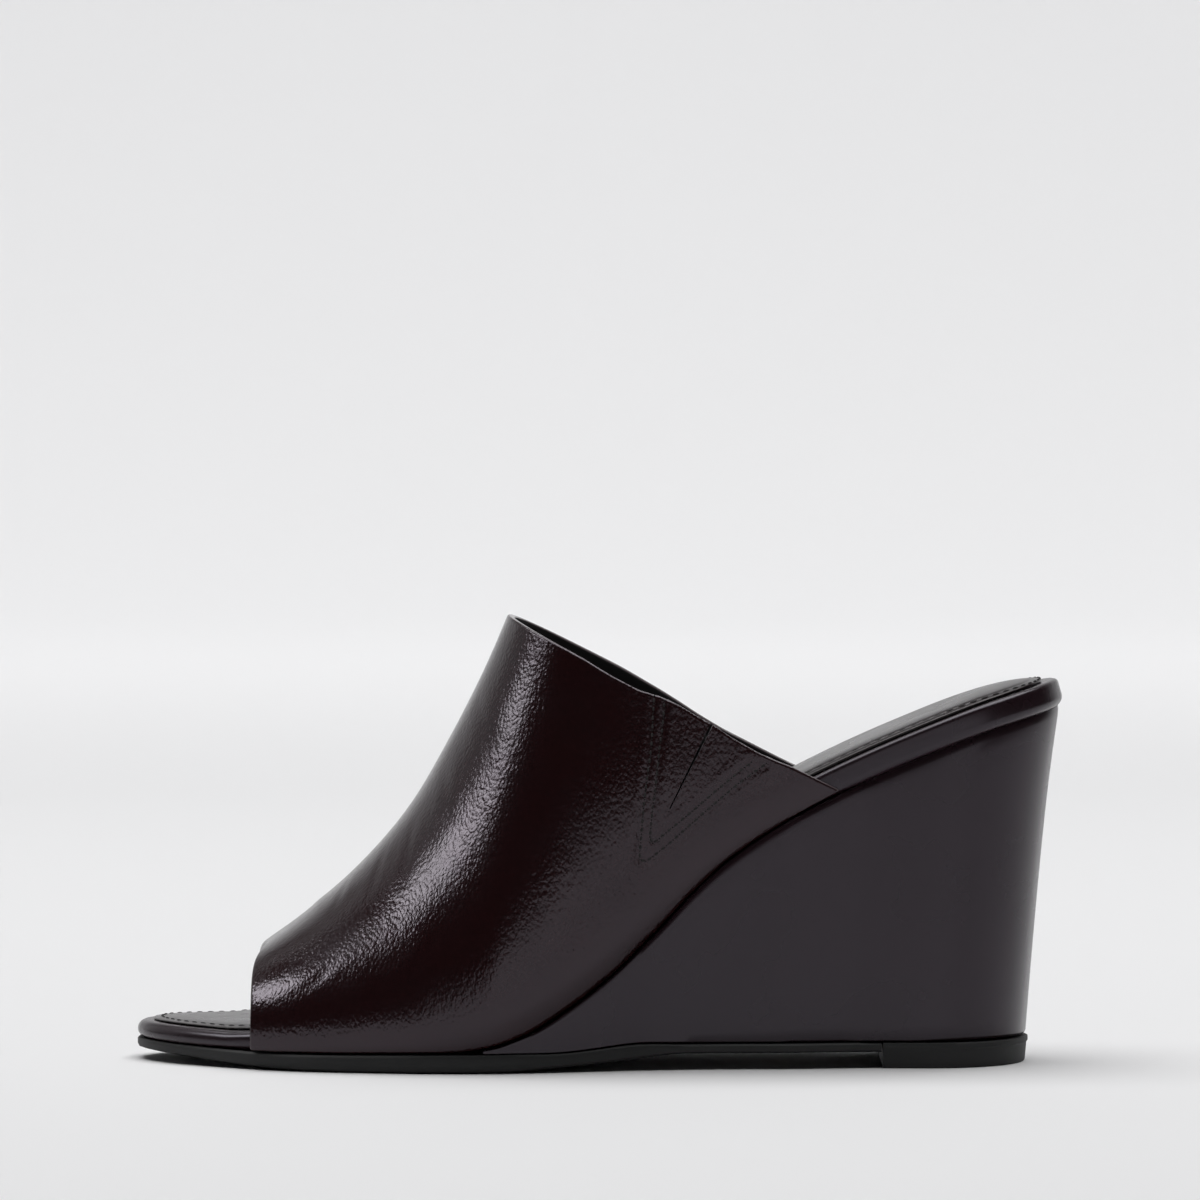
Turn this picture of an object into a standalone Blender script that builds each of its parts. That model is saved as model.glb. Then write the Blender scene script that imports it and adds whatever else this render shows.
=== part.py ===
import bpy
import bmesh
import math
from mathutils import Vector

# Open-toe wedge mule, left shoe. Toe toward -X, outer side toward -Y, floor at Z = 0.

# Sizes of the last and the sole, in metres
shoe_length = 0.219
ball_width = 0.080
heel_height = 0.0843
instep_height = 0.105
toe_offset = 0.008
toe_spring = 0.0030
# Footbed board and sock
board_thickness_toe = 0.0056
board_thickness_heel = 0.0064
board_round = 0.0026
board_round_below = 0.00234
sock_thickness = 0.0012
sock_margin = 0.0036
sock_round = 0.0007
sock_round_below = 0.00014
# Outsole
outsole_thickness = 0.0044
waist_lift = 0.0038
outsole_lip = 0.0006
outsole_lip_rear = 0.00036
outsole_bevel = 0.0007
# Heel block
heel_piece_height = 0.0060
heel_piece_length = 0.0342
heel_piece_taper = 0.0008
wedge_overhang = 0.0009
wedge_back_step = 0.0006
wedge_taper = 0.0013
wedge_rake = 0.0085
# Upper
upper_wall = 0.0019
edge_round = 0.0006
toe_edge_scoop = 0.0030
slit_width = 0.0014
slit_tip_width = 0.0003
# Elastic panel behind the slit
gore_thickness = 0.0009
gore_edge_drop = 0.0014
# Clearance between pieces that meet
gap = 0.0003

# How the outline rounds off at its ends: length of each end, and how square it is
toe_round = 0.044
heel_round = 0.030
round_power = 2.1

# Stations, as shares of the shoe's length from the toe
spine_end = 0.34
wedge_start = 0.376
taper_full = 0.62
rake_start = 0.55
cover_before_front = 0.07
cover_after_front = 0.06
cover_before_rear = 0.05
cover_after_rear = 0.03
sole_tip_end = 0.02

# Exponents and shares that give the curves their character
rake_power = 0.7
flare_power = 1.3
bulge_power = 0.65
scoop_power = 12
scoop_places = 6
slit_overshoot = 0.25

# Counts that set how fine the facets are
stations = 44
end_crowding = 0.4
tip_share = 0.2
clear_share = 0.3
across = 4
edge_steps = 3
upper_rows = 26
upper_columns = 34
gore_rows = 16
gore_columns = 12
small_step = 0.004

board_width = ball_width - 2 * (upper_wall + gap)

# Footbed outline: half widths from its spine, as shares of the board's width
outline_columns = ("station", "outer", "inner")
outline_rows = (
    (0.00, 0.372, 0.372),
    (0.06, 0.392, 0.398),
    (0.12, 0.425, 0.440),
    (0.18, 0.460, 0.460),
    (0.25, 0.497, 0.472),
    (0.32, 0.524, 0.467),
    (0.38, 0.527, 0.440),
    (0.44, 0.495, 0.400),
    (0.50, 0.445, 0.364),
    (0.57, 0.394, 0.340),
    (0.64, 0.370, 0.338),
    (0.72, 0.362, 0.350),
    (0.80, 0.365, 0.363),
    (0.88, 0.369, 0.369),
    (1.00, 0.369, 0.369),
)

# Outsole: underside as a share of the toe spring or the waist's lift, and thickness share
sole_columns = ("station", "spring", "lift", "thickness")
sole_rows = (
    (0.00, 1.00, 0.00, 0.46),
    (0.04, 0.74, 0.00, 0.56),
    (0.09, 0.45, 0.00, 0.68),
    (0.16, 0.13, 0.00, 0.82),
    (0.24, 0.00, 0.00, 0.93),
    (0.34, 0.00, 0.00, 1.00),
    (0.40, 0.00, 0.07, 0.96),
    (0.47, 0.00, 0.34, 0.76),
    (0.53, 0.00, 0.66, 0.80),
    (0.59, 0.00, 1.00, 0.50),
    (0.80, 0.00, 1.00, 0.50),
    (1.00, 0.00, 1.00, 0.50),
)

# Climb of the footbed above the sole, as a share of the wedge's height
climb_columns = ("station", "climb")
climb_rows = (
    (0.00, 0.000),
    (0.34, 0.000),
    (0.38, 0.013),
    (0.42, 0.050),
    (0.47, 0.132),
    (0.52, 0.226),
    (0.56, 0.332),
    (0.60, 0.452),
    (0.64, 0.550),
    (0.70, 0.656),
    (0.76, 0.740),
    (0.84, 0.838),
    (0.92, 0.926),
    (1.00, 1.000),
)

# Upper: a row for each slanted section, from the toe opening to the collar.
# foot and ridge are stations, height is a share of the instep height, lean is the ridge's
# place across, bulge_outer and bulge_inner are shares of the ball width.
upper_names = ("foot", "ridge", "height", "lean", "bulge_outer", "bulge_inner", "fullness")
upper_table = (
    (0.1255, 0.127, 0.264, 0.050, 0.010, 0.008, 2.60),
    (0.2280, 0.196, 0.357, 0.040, 0.016, 0.012, 2.45),
    (0.3380, 0.250, 0.460, 0.032, 0.026, 0.016, 2.35),
    (0.4470, 0.297, 0.579, 0.026, 0.036, 0.026, 2.30),
    (0.5570, 0.336, 0.718, 0.020, 0.040, 0.034, 2.30),
    (0.6670, 0.371, 0.860, 0.012, 0.030, 0.030, 2.40),
    (0.7560, 0.401, 0.998, 0.008, 0.012, 0.012, 2.50),
)

# Slit and gore: places along the foot line (station) and up (share of the instep height)
slit_top = (0.628, 0.800)
slit_tip = (0.574, 0.583)
gore_corners = ((0.545, 0.870), (0.538, 0.455), (0.696, 0.650), (0.696, 0.800))
# Part of the upper that the gore is cut from: where it starts along, and its turns around
gore_place = 0.5
gore_turns = (0.02, 0.42)
# The cutters run along Y between these shares of the ball width
slit_cut_reach = (-0.60, -0.10)
gore_cut_reach = (-0.60, -0.05)

# Outsole's edge from its underside up: inset as a share of the bevel, and share of the height
bevel_share = outsole_bevel / outsole_thickness
outsole_levels = ((1.0, 0.0), (0.0, bevel_share), (0.0, 1 - bevel_share), (0.5, 1.0))
outsole_end_bevel = 0.3

# Wedge: shares of the height where it has a ring
wedge_levels = (0.0, 0.25, 0.5, 0.75, 0.9, 0.97, 1.0)

# Heel piece from its underside up: share of the height, and share of its taper
heel_piece_levels = ((0.0, 1.0), (0.75, 0.35), (0.80, 0.0), (1.0, 0.0))

oxblood = (0.022, 0.012, 0.013)
rubber_black = (0.010, 0.011, 0.013)
lining_black = (0.008, 0.007, 0.008)


def column(name, names, rows):
    index = names.index(name)
    return [(row[0], row[index]) for row in rows]


def smooth(rows, at):
    """Value of a smooth curve through the rows (place, value)."""
    if at <= rows[0][0]:
        return rows[0][1]
    if at >= rows[-1][0]:
        return rows[-1][1]
    k = 0
    while rows[k + 1][0] < at:
        k += 1
    span = rows[k + 1][0] - rows[k][0]
    t = (at - rows[k][0]) / span
    start = slope_at(rows, k) * span
    end = slope_at(rows, k + 1) * span
    low = rows[k][1]
    high = rows[k + 1][1]
    rise = high - low
    return low + t * (start + t * ((3 * rise - 2 * start - end) + t * (start + end - 2 * rise)))


def slope_at(rows, k):
    """Slope at row k that never overshoots its neighbours."""
    if k == 0:
        return (rows[1][1] - rows[0][1]) / (rows[1][0] - rows[0][0])
    if k == len(rows) - 1:
        return (rows[k][1] - rows[k - 1][1]) / (rows[k][0] - rows[k - 1][0])
    before = (rows[k][1] - rows[k - 1][1]) / (rows[k][0] - rows[k - 1][0])
    after = (rows[k + 1][1] - rows[k][1]) / (rows[k + 1][0] - rows[k][0])
    if before * after <= 0:
        return 0.0
    return 2 * before * after / (before + after)


def lookup(name, names, rows, at):
    return smooth(column(name, names, rows), at)


def x_at(station):
    return (station - 0.5) * shoe_length


def station_at(x):
    return x / shoe_length + 0.5


# The last: spine, half widths and heights along the shoe

def spine(station):
    left = max(0.0, 1 - station / spine_end)
    return toe_offset * left * left


def end_round(station):
    """Share of the width that is left where the outline rounds off at its ends."""
    from_toe = station * shoe_length / toe_round
    from_heel = (1 - station) * shoe_length / heel_round
    share = 1.0
    for left in (from_toe, from_heel):
        if left < 1:
            share *= max(0.0, 1 - (1 - max(0.0, left)) ** round_power) ** (1 / round_power)
    return share


def half_width(side, station):
    """Half width of the footbed on side 'outer' or 'inner', from its spine."""
    share = lookup(side, outline_columns, outline_rows, station)
    return share * board_width * end_round(station)


def edge_y(side, station, grow=0.0):
    sign = -1 if side == "outer" else 1
    return spine(station) + sign * max(0.0, half_width(side, station) + grow)


def sole_bottom(station):
    spring = lookup("spring", sole_columns, sole_rows, station) * toe_spring
    lift = lookup("lift", sole_columns, sole_rows, station) * waist_lift
    return spring + lift


def sole_top(station):
    share = lookup("thickness", sole_columns, sole_rows, station)
    return sole_bottom(station) + share * outsole_thickness


def board_bottom(station):
    climb = lookup("climb", climb_columns, climb_rows, station)
    wedge_height = heel_height - heel_piece_height - gap
    return sole_top(station) + gap + climb * wedge_height


def board_slope(station):
    low = max(0.0, station - small_step)
    high = min(1.0, station + small_step)
    return (board_bottom(high) - board_bottom(low)) / ((high - low) * shoe_length)


def board_thickness(station):
    return board_thickness_toe + (board_thickness_heel - board_thickness_toe) * station


def cover(station):
    """1 where the upper wraps the board's side, 0 at the bare toe and heel."""
    front = upper_table[0][0]
    rear = upper_table[-1][0]
    into = smooth(((front - cover_before_front, 0.0), (front + cover_after_front, 1.0)), station)
    out = smooth(((rear - cover_before_rear, 1.0), (rear + cover_after_rear, 0.0)), station)
    return min(into, out)


# Shared builders


def outline_stations(first=0.0, last=1.0):
    """Stations from toe to heel, closer together at the round ends, cut to first and last."""
    places = []
    for k in range(stations + 1):
        turn = math.pi * k / stations
        eased = 0.5 - 0.5 * math.cos(turn)
        places.append(end_crowding * eased + (1 - end_crowding) * k / stations)
    places[1] = places[2] * tip_share
    places[-2] = 1 - (1 - places[-3]) * tip_share
    clear = clear_share / stations
    inside = [s for s in places if first + clear < s < last - clear]
    near_tip = [s for s in places if first == 0.0 and s <= clear]
    near_heel = [s for s in places if last == 1.0 and s >= 1 - clear]
    start = near_tip if first == 0.0 else [first]
    end = near_heel if last == 1.0 else [last]
    return start + inside + end


def plan_loop(places, point):
    """Closed loop of plan points: outer side from toe to heel, then inner side back."""
    outer = [point("outer", s) for s in places]
    inner = [point("inner", s) for s in places[1:-1]]
    return outer + inner[::-1]


def plan_normals(loop):
    normals = []
    for k in range(len(loop)):
        before = loop[k - 1]
        after = loop[(k + 1) % len(loop)]
        along = (after - before).normalized()
        normals.append(Vector((along.y, -along.x)))
    return normals


def edge_profile(thickness, bottom_round, top_round):
    """Inset and rise of each ring of a slab's side, from its underside to its top."""
    rings = []
    for k in range(edge_steps + 1):
        turn = 0.5 * math.pi * k / edge_steps
        rings.append((bottom_round * (1 - math.sin(turn)), bottom_round * (1 - math.cos(turn))))
    for k in range(edge_steps + 1):
        turn = 0.5 * math.pi * k / edge_steps
        rise = thickness - top_round * (1 - math.sin(turn))
        rings.append((top_round * (1 - math.cos(turn)), rise))
    return rings


def add_ring(mesh, points):
    return [mesh.verts.new(point) for point in points]


def join_rings(mesh, lower, upper):
    for k in range(len(lower)):
        after = (k + 1) % len(lower)
        mesh.faces.new((lower[k], lower[after], upper[after], upper[k]))


def fill_across(mesh, ring):
    """Closes a ring by strips from each outer point to the inner point beside it."""
    half = len(ring) // 2
    rows = []
    for k in range(1, half):
        start = ring[k]
        end = ring[-k]
        between = [mesh.verts.new(start.co.lerp(end.co, step / across)) for step in range(1, across)]
        rows.append([start] + between + [end])
    for before, after in zip(rows, rows[1:]):
        for step in range(across):
            mesh.faces.new((before[step], after[step], after[step + 1], before[step + 1]))
    for tip, row in ((ring[0], rows[0]), (ring[half], rows[-1])):
        for step in range(across):
            mesh.faces.new((tip, row[step], row[step + 1]))


def finish(name, mesh, colour, roughness, collection):
    """Makes one shaded object with its own material from a closed mesh."""
    bmesh.ops.remove_doubles(mesh, verts=mesh.verts, dist=1e-7)
    bmesh.ops.recalc_face_normals(mesh, faces=mesh.faces)
    data = bpy.data.meshes.new(name)
    mesh.to_mesh(data)
    mesh.free()
    body = bpy.data.objects.new(name, data)
    collection.objects.link(body)
    material = bpy.data.materials.new(name + "_material")
    material.use_nodes = True
    shader = material.node_tree.nodes["Principled BSDF"]
    shader.inputs["Base Color"].default_value = (*colour, 1.0)
    shader.inputs["Roughness"].default_value = roughness
    shader.inputs["Metallic"].default_value = 0.0
    data.materials.append(material)
    data.shade_smooth()
    data.set_sharp_from_angle(angle=math.radians(35))
    return body


def bent_slab(inset, base_rise, profile_at):
    """Slab bent to the footbed. profile_at(station) gives its edge rings there."""
    mesh = bmesh.new()
    places = outline_stations()
    flat = plan_loop(places, lambda side, s: Vector((x_at(s), edge_y(side, s))))
    normals = plan_normals(flat)
    order = places + places[1:-1][::-1]
    rings = []
    for level in range(len(profile_at(0.5))):
        points = []
        for point, normal, s in zip(flat, normals, order):
            ring_inset, rise = profile_at(s)[level]
            moved = point - normal * (inset + ring_inset)
            at = min(1.0, max(0.0, station_at(moved.x)))
            slope = board_slope(at)
            length = math.hypot(1, slope)
            height = base_rise(at) + rise
            x = moved.x - slope / length * height
            z = board_bottom(at) + height / length
            points.append((x, moved.y, z))
        rings.append(add_ring(mesh, points))
    for lower, upper in zip(rings, rings[1:]):
        join_rings(mesh, lower, upper)
    fill_across(mesh, rings[0])
    fill_across(mesh, rings[-1])
    return mesh


def build_footbed(collection):
    def profile(s):
        return edge_profile(board_thickness(s), board_round_below, board_round)

    mesh = bent_slab(0.0, lambda s: 0.0, profile)
    return finish("footbed", mesh, oxblood, 0.32, collection)


def build_insole(collection):
    def profile(s):
        return edge_profile(sock_thickness, sock_round_below, sock_round)

    mesh = bent_slab(sock_margin, lambda s: board_thickness(s) + gap, profile)
    return finish("insole", mesh, oxblood, 0.38, collection)


def outsole_end():
    return station_at(x_at(1.0) - wedge_rake - wedge_back_step - heel_piece_length - gap)


def under_edge(side, station):
    """Plan edge of what lies under the footbed: flush with the upper, inside at the heel."""
    grow = cover(station) * (upper_wall + gap) - (1 - cover(station)) * wedge_overhang
    return edge_y(side, station, grow)


def wedge_foot_edge(side, station):
    """Plan edge of the wedge's flat underside, a little narrower than its top."""
    sign = -1 if side == "outer" else 1
    share = smooth(((wedge_start, 0.0), (taper_full, 1.0)), station)
    return under_edge(side, station) - sign * wedge_taper * share


def blunt_loop(mesh, outer, inner):
    """Ring from a straight end along the outer side to the tip, back, and across the end."""
    points = outer + inner[::-1]
    first = Vector(points[0])
    last = Vector(points[-1])
    points += [last.lerp(first, k / across) for k in range(1, across)]
    return add_ring(mesh, points)


def fill_blunt(mesh, ring):
    """Closes a blunt_loop ring by strips from side to side."""
    sides = len(ring) - (across - 1)
    tip = ring[sides // 2]
    rows = [[ring[0]] + ring[sides:][::-1] + [ring[sides - 1]]]
    for k in range(1, sides // 2):
        start = ring[k]
        end = ring[sides - 1 - k]
        between = [mesh.verts.new(start.co.lerp(end.co, step / across)) for step in range(1, across)]
        rows.append([start] + between + [end])
    for before, after in zip(rows, rows[1:]):
        for step in range(across):
            mesh.faces.new((before[step], after[step], after[step + 1], before[step + 1]))
    for step in range(across):
        mesh.faces.new((tip, rows[-1][step], rows[-1][step + 1]))


def stack_blunt(levels, point, places):
    """Closed block of blunt_loop rings. point(side, place, level) gives its corners."""
    mesh = bmesh.new()
    rings = []
    for level in levels:
        outer = [point("outer", place, level) for place in places]
        inner = [point("inner", place, level) for place in places[:-1]]
        rings.append(blunt_loop(mesh, outer, inner))
    for lower, upper in zip(rings, rings[1:]):
        join_rings(mesh, lower, upper)
    fill_blunt(mesh, rings[0])
    fill_blunt(mesh, rings[-1])
    return mesh


def build_outsole(collection):
    last = outsole_end()

    def point(side, s, level):
        inset_share, share = level
        inset = outsole_bevel * inset_share
        sign = -1 if side == "outer" else 1
        x = x_at(s)
        if s == 0.0:
            x += inset
        if s == last:
            x -= outsole_end_bevel * inset
        if s < wedge_start:
            y = under_edge(side, s) + sign * outsole_lip * cover(s)
        else:
            y = wedge_foot_edge(side, s) + sign * outsole_lip_rear * cover(s)
        y -= sign * inset * min(1.0, s / sole_tip_end)
        z = sole_bottom(s) + share * (sole_top(s) - sole_bottom(s))
        return (x, y, z)

    mesh = stack_blunt(outsole_levels, point, outline_stations(0.0, last)[::-1])
    return finish("outsole", mesh, rubber_black, 0.45, collection)


def wedge_back(share):
    """How far the back has moved in at a share of the height: it flares out to the top."""
    return wedge_rake * (1 - share) ** rake_power


def build_wedge(collection):
    def point(side, s, level):
        tail = smooth(((rake_start, 0.0), (1.0, 1.0)), s)
        x = x_at(s) - tail * (wedge_back(level) + wedge_back_step)
        top_y = under_edge(side, s)
        foot_y = wedge_foot_edge(side, s)
        y = foot_y + (top_y - foot_y) * level ** flare_power
        top_z = board_bottom(station_at(x_at(s) - tail * wedge_back_step)) - gap
        foot_z = sole_top(min(s, outsole_end())) + gap
        return (x, y, foot_z + (top_z - foot_z) * level)

    mesh = stack_blunt(wedge_levels, point, outline_stations(wedge_start, 1.0))
    return finish("wedge", mesh, oxblood, 0.3, collection)


def build_heel_piece(collection):
    front = outsole_end() + gap / shoe_length
    back_x = x_at(1.0) - wedge_rake - wedge_back_step + outsole_lip

    def point(side, s, level):
        rise, taper = level
        sign = -1 if side == "outer" else 1
        place = (s - front) / (1 - front)
        x = x_at(front) + place * (back_x - x_at(front))
        x -= taper * heel_piece_taper * place
        y = wedge_foot_edge(side, s)
        y += sign * min(outsole_lip, abs(y)) * (1 - taper)
        return (x, y, rise * heel_piece_height)

    mesh = stack_blunt(heel_piece_levels, point, outline_stations(front, 1.0))
    return finish("heel_top_piece", mesh, rubber_black, 0.5, collection)


def upper_row(place):
    """Values of the upper's section at a place from 0, the toe opening, to 1, the collar."""
    count = len(upper_table) - 1
    values = {}
    for index, name in enumerate(upper_names):
        rows = [(k / count, row[index]) for k, row in enumerate(upper_table)]
        values[name] = smooth(rows, place)
    return values


def upper_point(place, turn):
    """Outer surface of the upper. turn runs from 0, outer foot, to 1, inner foot."""
    row = upper_row(place)
    foot = Vector((x_at(row["foot"]), board_bottom(row["foot"])))
    ridge = Vector((x_at(row["ridge"]), row["height"] * instep_height))
    angle = math.pi * turn
    power = 2 / row["fullness"]
    rise = math.sin(angle) ** power
    point = foot.lerp(ridge, rise)
    station = station_at(point.x)
    middle = row["lean"] * ball_width
    side = "outer" if turn < 0.5 else "inner"
    sign = -1 if side == "outer" else 1
    reach = abs(edge_y(side, station, upper_wall + gap) - middle)
    narrow = abs(math.cos(angle)) ** power
    bulge = row["bulge_" + side] * ball_width * math.sin(math.pi * rise ** bulge_power)
    scoop = toe_edge_scoop * rise ** scoop_power * max(0.0, 1 - place * scoop_places)
    return Vector((point.x + scoop, middle + sign * (reach * narrow + bulge), point.y))


def upper_inside(place, turn, depth):
    """Point below the upper's outer surface by a depth, along the surface's normal."""
    low = max(0.0, place - small_step)
    high = min(1.0, place + small_step)
    along = upper_point(high, turn) - upper_point(low, turn)
    low = max(0.0, turn - small_step)
    high = min(1.0, turn + small_step)
    around = upper_point(place, high) - upper_point(place, low)
    normal = along.cross(around).normalized()
    return upper_point(place, turn) - normal * depth


def surface_grid(rows, columns, point):
    """Sheet of quads over point(share along, share around)."""
    mesh = bmesh.new()
    grid = []
    for r in range(rows + 1):
        grid.append([mesh.verts.new(point(r / rows, c / columns)) for c in range(columns + 1)])
    for before, after in zip(grid, grid[1:]):
        for c in range(columns):
            mesh.faces.new((before[c], before[c + 1], after[c + 1], after[c]))
    return mesh


def prism(name, corners, reach, collection):
    """Straight prism along Y with an outline given in station and height shares."""
    y_start, y_end = (share * ball_width for share in reach)
    mesh = bmesh.new()
    ring = [mesh.verts.new((x_at(s), y_start, h * instep_height)) for s, h in corners]
    face = mesh.faces.new(ring)
    swept = bmesh.ops.extrude_face_region(mesh, geom=[face])
    moved = [item for item in swept["geom"] if isinstance(item, bmesh.types.BMVert)]
    bmesh.ops.translate(mesh, verts=moved, vec=(0, y_end - y_start, 0))
    bmesh.ops.recalc_face_normals(mesh, faces=mesh.faces)
    data = bpy.data.meshes.new(name)
    mesh.to_mesh(data)
    mesh.free()
    body = bpy.data.objects.new(name, data)
    body.hide_render = True
    body.display_type = "WIRE"
    collection.objects.link(body)
    return body


def slit_corners():
    """Corners of the slit: a narrow V that opens at the collar."""
    top_x, top_h = slit_top
    tip_x, tip_h = slit_tip
    run = (top_x - tip_x) * slit_overshoot
    rise = (top_h - tip_h) * slit_overshoot
    half_top = 0.5 * slit_width / shoe_length
    half_tip = 0.5 * slit_tip_width / shoe_length
    return (
        (top_x + run - half_top, top_h + rise),
        (tip_x - half_tip, tip_h),
        (tip_x + half_tip, tip_h),
        (top_x + run + half_top, top_h + rise),
    )


def build_upper(collection, cutters):
    mesh = surface_grid(upper_rows, upper_columns, upper_point)
    upper = finish("upper", mesh, oxblood, 0.3, collection)
    wall = upper.modifiers.new("wall", "SOLIDIFY")
    wall.thickness = upper_wall
    wall.offset = -1
    wall.use_even_offset = True
    slit = prism("slit_cutter", slit_corners(), slit_cut_reach, cutters)
    cut = upper.modifiers.new("slit", "BOOLEAN")
    cut.operation = "DIFFERENCE"
    cut.solver = "EXACT"
    cut.object = slit
    fold = upper.modifiers.new("fold", "BEVEL")
    fold.width = edge_round
    fold.segments = 2
    fold.limit_method = "ANGLE"
    fold.angle_limit = math.radians(50)
    return upper


def build_gore(collection, cutters):
    """Elastic sheet that lies just inside the upper and bridges the slit."""
    last_place = 1 - gore_edge_drop / (0.5 * shoe_length)
    first_turn, last_turn = gore_turns

    def point(along, around):
        place = gore_place + (last_place - gore_place) * along
        turn = first_turn + (last_turn - first_turn) * around
        return upper_inside(place, turn, upper_wall + gap)

    mesh = surface_grid(gore_rows, gore_columns, point)
    gore = finish("side_gore", mesh, lining_black, 0.8, collection)
    wall = gore.modifiers.new("wall", "SOLIDIFY")
    wall.thickness = gore_thickness
    wall.offset = -1
    outline = prism("gore_cutter", gore_corners, gore_cut_reach, cutters)
    cut = gore.modifiers.new("outline", "BOOLEAN")
    cut.operation = "INTERSECT"
    cut.solver = "EXACT"
    cut.object = outline
    return gore


def centre_on_origin(bodies):
    """Moves all pieces so that the whole shoe is centred over the origin."""
    bpy.context.view_layer.update()
    corners = [body.matrix_world @ Vector(c) for body in bodies for c in body.bound_box]
    for axis in (0, 1):
        low = min(corner[axis] for corner in corners)
        high = max(corner[axis] for corner in corners)
        for body in bodies:
            body.location[axis] = -0.5 * (low + high)


def main():
    for old in list(bpy.data.objects):
        bpy.data.objects.remove(old, do_unlink=True)
    parts = bpy.data.collections.new("wedge_mule")
    cutters = bpy.data.collections.new("cutters")
    bpy.context.scene.collection.children.link(parts)
    bpy.context.scene.collection.children.link(cutters)
    bodies = [
        build_outsole(parts),
        build_heel_piece(parts),
        build_wedge(parts),
        build_footbed(parts),
        build_insole(parts),
        build_upper(parts, cutters),
        build_gore(parts, cutters),
    ]
    centre_on_origin(bodies)
    print("pieces:", ", ".join(body.name for body in bodies))


main()
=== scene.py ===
import math
import random

import bmesh
import bpy
import numpy as np
from mathutils import Matrix, Vector
from mathutils.bvhtree import BVHTree


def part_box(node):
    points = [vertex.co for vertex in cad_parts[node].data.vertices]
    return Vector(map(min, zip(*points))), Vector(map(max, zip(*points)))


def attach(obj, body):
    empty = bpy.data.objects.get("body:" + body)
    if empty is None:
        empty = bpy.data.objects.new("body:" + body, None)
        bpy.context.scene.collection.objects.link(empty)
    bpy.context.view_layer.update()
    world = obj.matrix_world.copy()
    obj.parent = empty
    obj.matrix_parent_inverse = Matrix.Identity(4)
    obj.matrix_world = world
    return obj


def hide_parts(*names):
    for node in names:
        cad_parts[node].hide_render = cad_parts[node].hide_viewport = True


# Left open-toe wedge mule: toe toward -X, outer side toward -Y, all lengths in metres.

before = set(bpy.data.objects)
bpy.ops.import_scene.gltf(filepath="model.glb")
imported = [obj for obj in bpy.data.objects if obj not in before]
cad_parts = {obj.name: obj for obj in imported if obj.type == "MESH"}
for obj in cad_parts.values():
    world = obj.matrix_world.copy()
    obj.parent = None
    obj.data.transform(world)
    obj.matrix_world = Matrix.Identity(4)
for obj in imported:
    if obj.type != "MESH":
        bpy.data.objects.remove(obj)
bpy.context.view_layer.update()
random.seed(7)
mm = 0.001

# Sizes of the last, the sole and the upper; the same ones as in the part's source
shoe = {
    "length": 0.219,
    "ballWidth": 0.080,
    "heelHeight": 0.0843,
    "instepHeight": 0.105,
    "toeOffset": 0.008,
    "toeSpring": 0.0030,
    "toeRound": 0.044,
    "heelRound": 0.030,
    "roundPower": 2.1,
    "spineEnd": 0.34,
    "gap": 0.0003,
    "wall": 0.0019,
}
boardWidth = shoe["ballWidth"] - 2 * (shoe["wall"] + shoe["gap"])

# station, outer half width, inner half width
outlineRows = (
    (0.00, 0.372, 0.372),
    (0.06, 0.392, 0.398),
    (0.12, 0.425, 0.440),
    (0.18, 0.460, 0.460),
    (0.25, 0.497, 0.472),
    (0.32, 0.524, 0.467),
    (0.38, 0.527, 0.440),
    (0.44, 0.495, 0.400),
    (0.50, 0.445, 0.364),
    (0.57, 0.394, 0.340),
    (0.64, 0.370, 0.338),
    (0.72, 0.362, 0.350),
    (0.80, 0.365, 0.363),
    (0.88, 0.369, 0.369),
    (1.00, 0.369, 0.369),
)

# station, share of the toe spring, share of the waist's lift, share of the outsole's thickness
soleRows = (
    (0.00, 1.00, 0.00, 0.46),
    (0.04, 0.74, 0.00, 0.56),
    (0.09, 0.45, 0.00, 0.68),
    (0.16, 0.13, 0.00, 0.82),
    (0.24, 0.00, 0.00, 0.93),
    (0.34, 0.00, 0.00, 1.00),
    (0.40, 0.00, 0.07, 0.96),
    (0.47, 0.00, 0.34, 0.76),
    (0.53, 0.00, 0.66, 0.80),
    (0.59, 0.00, 1.00, 0.50),
    (0.80, 0.00, 1.00, 0.50),
    (1.00, 0.00, 1.00, 0.50),
)

# station, climb of the footbed as a share of the wedge's height
climbRows = (
    (0.00, 0.000),
    (0.34, 0.000),
    (0.38, 0.013),
    (0.42, 0.050),
    (0.47, 0.132),
    (0.52, 0.226),
    (0.56, 0.332),
    (0.60, 0.452),
    (0.64, 0.552),
    (0.70, 0.663),
    (0.76, 0.750),
    (0.84, 0.849),
    (0.92, 0.935),
    (1.00, 1.000),
)

# foot station, ridge station, height, lean, outer bulge, inner bulge, fullness; toe opening to collar
upperRows = (
    (0.1255, 0.127, 0.264, 0.050, 0.010, 0.008, 2.60),
    (0.2280, 0.196, 0.357, 0.040, 0.016, 0.012, 2.45),
    (0.3380, 0.250, 0.460, 0.032, 0.026, 0.016, 2.35),
    (0.4470, 0.297, 0.579, 0.026, 0.036, 0.026, 2.30),
    (0.5570, 0.336, 0.718, 0.020, 0.040, 0.034, 2.30),
    (0.6670, 0.371, 0.860, 0.012, 0.030, 0.030, 2.40),
    (0.7560, 0.401, 0.998, 0.008, 0.012, 0.012, 2.50),
)

sole = {
    "thickness": 0.0044,
    "waistLift": 0.0038,
    "lip": 0.0006,
    "bevel": 0.0009,
    "heelPieceHeight": 0.0060,
    "heelPieceLength": 0.0342,
    "heelPieceTaper": 0.0008,
    "overhang": 0.0009,
    "backStep": 0.0006,
    "taper": 0.0013,
    "rake": 0.0085,
    "wedgeStart": 0.376,
}


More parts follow.
